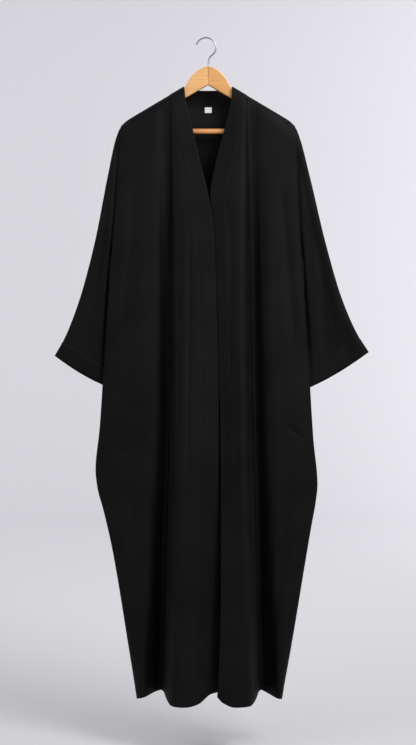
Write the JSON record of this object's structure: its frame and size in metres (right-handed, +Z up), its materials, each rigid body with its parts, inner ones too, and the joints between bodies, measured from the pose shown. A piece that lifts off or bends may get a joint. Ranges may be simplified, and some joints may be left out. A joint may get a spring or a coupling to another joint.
{
  "type": "open-front abaya on a wooden hanger",
  "caption": "Long black crepe abaya with an open front, wide sleeves and a plain front band, hung on a wooden hanger with a trouser bar.",
  "frame": {"origin": "where the inside of the hook's bend rests on its rail", "axes": "+Z up; -Y out of the open front; +X towards the wearer's left"},
  "size_m": [0.754, 0.1909, 1.5887],
  "materials": {
    "crepe": "matt black crepe",
    "label_tape": "woven tape",
    "hanger_wood": "clear lacquer",
    "hook_wire": "polished chrome plate"
  },
  "bodies": {
    "root": {"front_right_upper": "crepe", "front_right_lower": "crepe", "front_left_upper": "crepe", "front_left_lower": "crepe", "back_upper": "crepe", "back_lower": "crepe", "sleeve_right": "crepe", "sleeve_left": "crepe", "band_right_upper": "crepe", "band_right_lower": "crepe", "band_left_upper": "crepe", "band_left_lower": "crepe", "neck_label": "label_tape", "hanger_arm_right": "hanger_wood", "hanger_arm_left": "hanger_wood", "hanger_bar": "hanger_wood", "hanger_hook": "hook_wire"}
  },
  "joints": []
}
